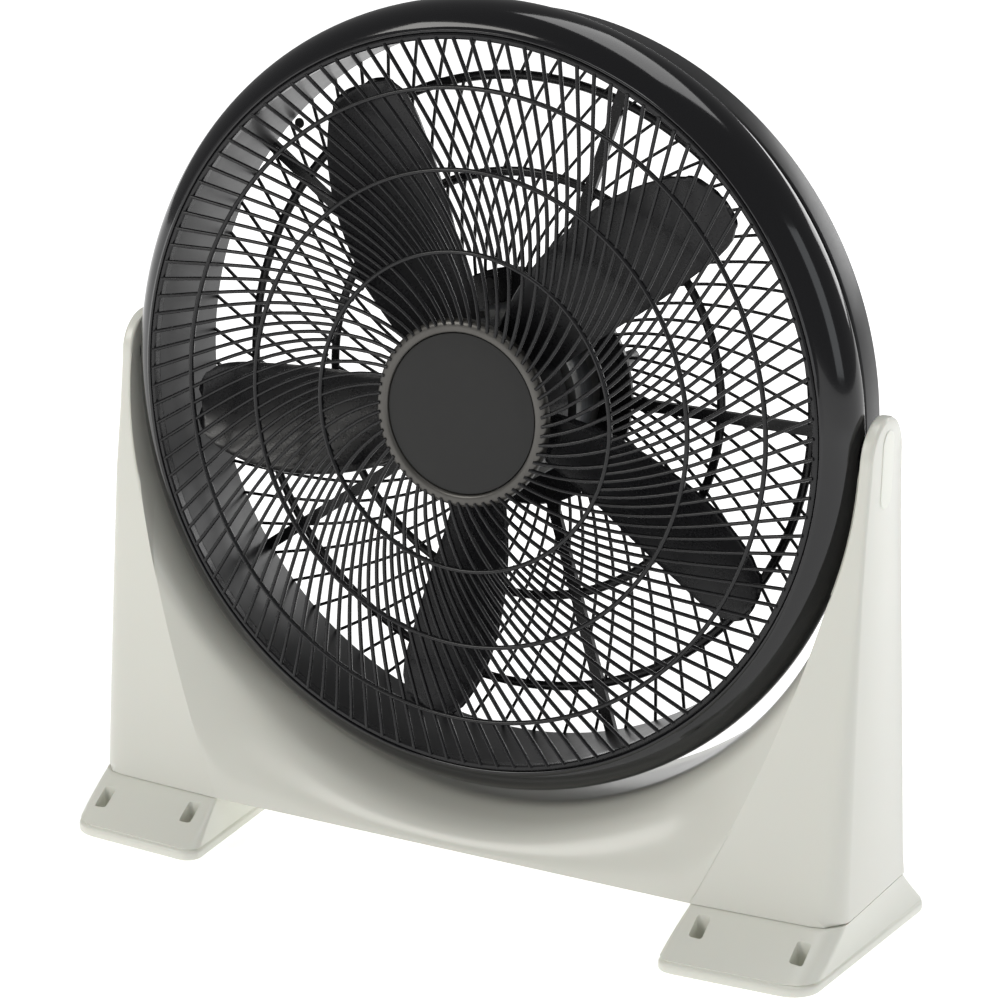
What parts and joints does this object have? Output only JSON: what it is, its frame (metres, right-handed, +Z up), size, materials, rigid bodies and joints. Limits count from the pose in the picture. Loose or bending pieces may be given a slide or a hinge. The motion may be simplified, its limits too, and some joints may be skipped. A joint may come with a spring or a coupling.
{
  "type": "box fan",
  "caption": "Round fan head with swirled black grilles and a wide-bladed impeller, tilting between the arms of a light grey U-shaped stand on two pocketed feet.",
  "frame": {"origin": "centre of the base on the floor, straight under the head's tilt axis", "axes": "X to the fan's left-right width, Y to the back, Z up; the front grille faces -Y and the tilt axis lies along X"},
  "size_m": [0.61, 0.206, 0.635],
  "materials": {
    "stand_plastic": "smooth moulded, light warm grey",
    "foot_plastic": "smooth moulded, light warm grey",
    "pad_rubber": "matte",
    "zinc_steel": "zinc plated",
    "black_steel": "blackened",
    "bright_steel": "ground",
    "black_plastic": "fine texture",
    "bush_plastic": "smooth nylon",
    "glossy_black": "high gloss",
    "drum_black": "semi gloss",
    "grille_black": "semi gloss",
    "fan_black": "semi gloss",
    "disc_black": "matte",
    "trim_grey": "dark metallic paint",
    "cast_alloy": "die cast",
    "lamination_steel": "stacked sheets",
    "copper_wire": "enamelled copper",
    "sintered_bronze": "sintered",
    "capacitor_plastic": "smooth"
  },
  "bodies": {
    "stand": {"stand_front_shell": "stand_plastic", "stand_rear_cover": "stand_plastic", "left_foot": "foot_plastic", "right_foot": "foot_plastic", "foot_pads": "pad_rubber", "foot_screws": "zinc_steel", "stand_screws": "zinc_steel", "cord_gland": "black_plastic", "left_pivot_bush": "bush_plastic", "right_pivot_bush": "bush_plastic", "left_pivot_cap": "foot_plastic", "right_pivot_cap": "foot_plastic"},
    "head": {"left_pivot_pin": "bright_steel", "right_pivot_pin": "bright_steel", "left_pivot_washer": "black_plastic", "right_pivot_washer": "black_plastic", "front_ring": "glossy_black", "drum_shell": "drum_black", "ring_screws": "black_steel", "front_grille": "grille_black", "hub_disc": "disc_black", "hub_trim_ring": "trim_grey", "rear_grille": "grille_black", "grille_screws": "black_steel", "motor_front_bell": "cast_alloy", "motor_rear_bell": "cast_alloy", "stator_core": "lamination_steel", "stator_windings": "copper_wire", "front_bearing": "sintered_bronze", "rear_bearing": "sintered_bronze", "motor_screws": "zinc_steel", "motor_rear_cover": "drum_black", "cover_screws": "black_steel", "run_capacitor": "capacitor_plastic", "speed_switch": "bush_plastic"},
    "rotor": {"motor_shaft": "bright_steel", "rotor_core": "lamination_steel", "impeller": "fan_black", "blade_nut": "black_plastic"},
    "knob": {"speed_knob": "black_plastic"}
  },
  "joints": [
    {"name": "head_tilt", "type": "hinge", "parent": "stand", "child": "head", "pos_m": [0, 0, 0.354], "axis": [-1, 0, 0], "range_deg": [-20, 90]},
    {"name": "rotor_spin", "type": "hinge", "parent": "head", "child": "rotor", "pos_m": [0, 0, 0.354], "axis": [0, -1, 0], "continuous": true},
    {"name": "speed_knob_turn", "type": "hinge", "parent": "head", "child": "knob", "pos_m": [0, 0, 0.398], "axis": [0, -1, 0], "range_deg": [0, 135]}
  ]
}
